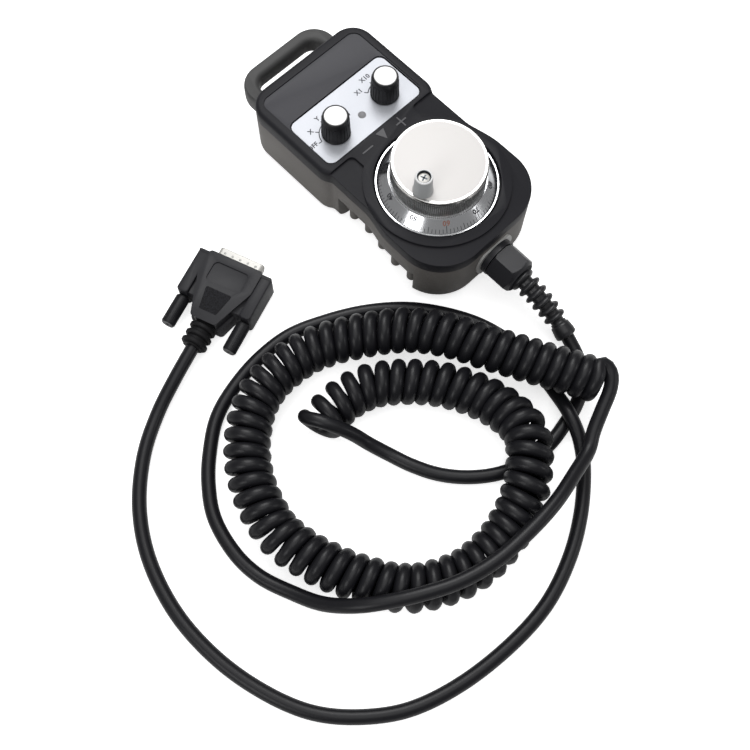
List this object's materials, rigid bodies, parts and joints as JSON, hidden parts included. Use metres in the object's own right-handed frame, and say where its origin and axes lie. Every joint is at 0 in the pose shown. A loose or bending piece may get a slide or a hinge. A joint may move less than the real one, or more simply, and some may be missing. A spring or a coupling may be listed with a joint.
{
  "type": "pulse generator handwheel",
  "caption": "Hand-held manual pulse generator pendant with a graduated crank handwheel, rotary selectors, hanger loop and a coiled cord to a D-shaped connector with thumbscrews.",
  "frame": {"origin": "middle of the pendant's footprint (housing, hanger and bend relief), on the surface it lies on", "axes": "+Z out of the face along the handwheel's axis, +Y along the housing towards the hanger loop, -Y towards the cord gland, +X across to the right"},
  "size_m": [0.2629, 0.2935, 0.0666],
  "materials": {
    "housing": "fine satin texture",
    "face_plate": "satin silver sheet",
    "lens": "unlit translucent grey",
    "knob": "satin moulded, fluted",
    "knob_cap": "plain white disc",
    "steel": "plated",
    "switch_body": "moulded",
    "turned_aluminium": "polished turning",
    "crank": "satin grey",
    "board": "solder mask",
    "seat_washer": "light grey",
    "gland": "moulded nylon",
    "rubber": "matt",
    "relief": "moulded nylon, satin",
    "cord": "satin sheath",
    "hood": "fine texture",
    "plated_shell": "nickel plated",
    "insulator": "matt",
    "contact": "gold flash",
    "thumbscrew": "knurled"
  },
  "bodies": {
    "pendant": {"front_shell": "housing", "back_shell": "housing", "face_plate": "face_plate", "indicator_lens": "lens", "axis_switch": "switch_body", "axis_nut": "steel", "step_switch": "switch_body", "step_nut": "steel", "encoder_body": "switch_body", "encoder_screws": "steel", "circuit_board": "board", "case_screws": "steel", "gland_washer": "seat_washer", "gland_body": "gland", "gland_locknut": "gland", "gland_seal": "rubber", "gland_nut": "gland", "spiral_relief": "relief", "cord_lead": "cord", "cord_coil": "cord", "cord_tail": "cord", "plug_hood": "hood", "plug_boot": "rubber", "plug_shell": "plated_shell", "plug_insulator": "insulator", "plug_pins": "contact"},
    "handwheel": {"dial_skirt": "turned_aluminium", "wheel_hub": "turned_aluminium", "wheel_shaft": "steel", "crank_screw": "steel"},
    "crank": {"crank_handle": "crank"},
    "axis_selector": {"axis_knob": "knob", "axis_cap": "knob_cap", "axis_shaft": "steel"},
    "step_selector": {"step_knob": "knob", "step_cap": "knob_cap", "step_shaft": "steel"},
    "left_thumbscrew": {"thumbscrew_left": "thumbscrew"},
    "right_thumbscrew": {"thumbscrew_right": "thumbscrew"}
  },
  "joints": [
    {"name": "handwheel_turn", "type": "hinge", "parent": "pendant", "child": "handwheel", "pos_m": [0, -0.0118, 0.04], "axis": [0, 0, 1], "continuous": true},
    {"name": "crank_spin", "type": "hinge", "parent": "handwheel", "child": "crank", "pos_m": [-0.01692, -0.01763, 0.06], "axis": [0, 0, 1], "continuous": true},
    {"name": "axis_select", "type": "hinge", "parent": "pendant", "child": "axis_selector", "pos_m": [-0.0165, 0.041, 0.04], "axis": [0, 0, 1], "range_deg": [-135, 45]},
    {"name": "step_select", "type": "hinge", "parent": "pendant", "child": "step_selector", "pos_m": [0.0165, 0.041, 0.04], "axis": [0, 0, 1], "range_deg": [-90, 0]},
    {"name": "left_thumbscrew_turn", "type": "hinge", "parent": "pendant", "child": "left_thumbscrew", "pos_m": [-0.11705, 0.04033, 0.00775], "axis": [0.9373, 0.3486, 0], "continuous": true},
    {"name": "right_thumbscrew_turn", "type": "hinge", "parent": "pendant", "child": "right_thumbscrew", "pos_m": [-0.10544, 0.00912, 0.00775], "axis": [0.9373, 0.3486, 0], "continuous": true}
  ]
}
